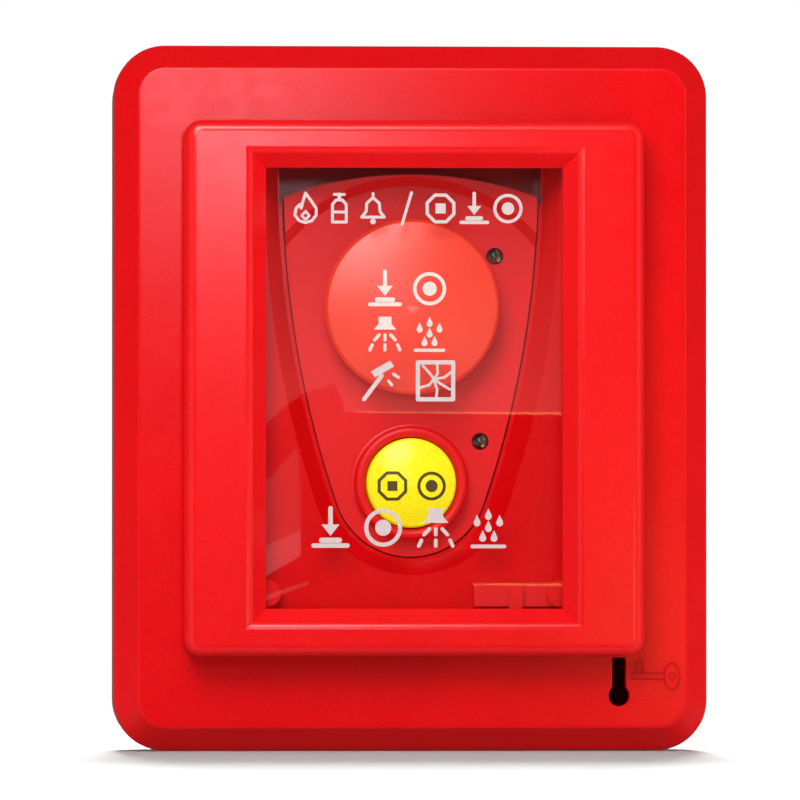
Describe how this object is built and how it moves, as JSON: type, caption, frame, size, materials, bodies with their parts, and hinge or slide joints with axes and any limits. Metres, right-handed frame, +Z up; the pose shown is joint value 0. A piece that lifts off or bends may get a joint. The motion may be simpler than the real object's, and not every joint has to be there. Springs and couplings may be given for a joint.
{
  "type": "manual call point",
  "caption": "Wall-mounted emergency start and stop call point: red casing, hinged key-latched window cover, mushroom start button, recessed stop button and indicator lamps.",
  "frame": {"origin": "centre of the flat back face that lies on the wall", "axes": "+Z up the wall, front faces -Y, +X to the viewer's right, +Y into the wall"},
  "size_m": [0.112, 0.043, 0.133],
  "materials": {
    "casing_red": "fine-textured satin red moulded plastic",
    "cover_red": "satin red moulded plastic",
    "panel_red": "fine matte red moulded plastic",
    "button_red": "satin red moulded plastic",
    "button_yellow": "gloss yellow moulded plastic",
    "clear_pane": "clear polished acrylic",
    "lamp_lens": "clear epoxy lens",
    "black_plastic": "black moulded plastic",
    "grey_rubber": "soft dark rubber",
    "zinc_steel": "bright zinc-plated steel",
    "spring_steel": "drawn spring wire",
    "board_green": "solder-mask green laminate",
    "terminal_green": "green moulded plastic",
    "switch_grey": "grey moulded plastic",
    "relay_blue": "blue moulded plastic",
    "can_black": "black sleeved capacitor can"
  },
  "bodies": {
    "casing": {"back_box": "casing_red", "case_seal": "grey_rubber", "cable_grommet": "grey_rubber", "front_housing": "casing_red", "button_panel": "panel_red", "start_bush": "black_plastic", "start_nut": "black_plastic", "stop_collar": "panel_red", "stop_nut": "black_plastic", "start_switch": "switch_grey", "stop_switch": "switch_grey", "led_upper": "lamp_lens", "led_lower": "lamp_lens", "led_spacers": "black_plastic", "led_leads": "zinc_steel", "circuit_board": "board_green", "relay": "relay_blue", "capacitors": "can_black", "board_chip": "black_plastic", "terminal_block": "terminal_green", "terminal_screws": "zinc_steel", "latch_retainer": "black_plastic", "case_screws": "zinc_steel", "panel_screws": "zinc_steel", "board_screws": "zinc_steel", "latch_screws": "zinc_steel", "start_spring": "spring_steel", "stop_spring": "spring_steel"},
    "start_button": {"start_button": "button_red", "start_plunger": "black_plastic"},
    "stop_button": {"stop_button": "button_yellow", "stop_plunger": "black_plastic"},
    "latch": {"latch_slide": "panel_red"},
    "cover": {"cover_frame": "cover_red", "break_pane": "clear_pane", "pane_retainer": "cover_red", "retainer_screws": "zinc_steel", "hinge_pins": "zinc_steel"}
  },
  "joints": [
    {"name": "cover_hinge", "type": "hinge", "parent": "casing", "child": "cover", "pos_m": [0, -0.0378, 0.0488], "axis": [-1, 0, 0], "range_deg": [0, 95]},
    {"name": "start_press", "type": "slide", "parent": "casing", "child": "start_button", "axis": [0, 1, 0], "range_m": [0, 0.004], "stiffness_N_per_m": 800, "springref_m": -0.002, "deforming": ["start_spring"]},
    {"name": "stop_press", "type": "slide", "parent": "casing", "child": "stop_button", "axis": [0, 1, 0], "range_m": [0, 0.0025], "stiffness_N_per_m": 800, "springref_m": -0.002, "deforming": ["stop_spring"]},
    {"name": "latch_slide", "type": "slide", "parent": "casing", "child": "latch", "axis": [-1, 0, 0], "range_m": [0, 0.0026]}
  ]
}
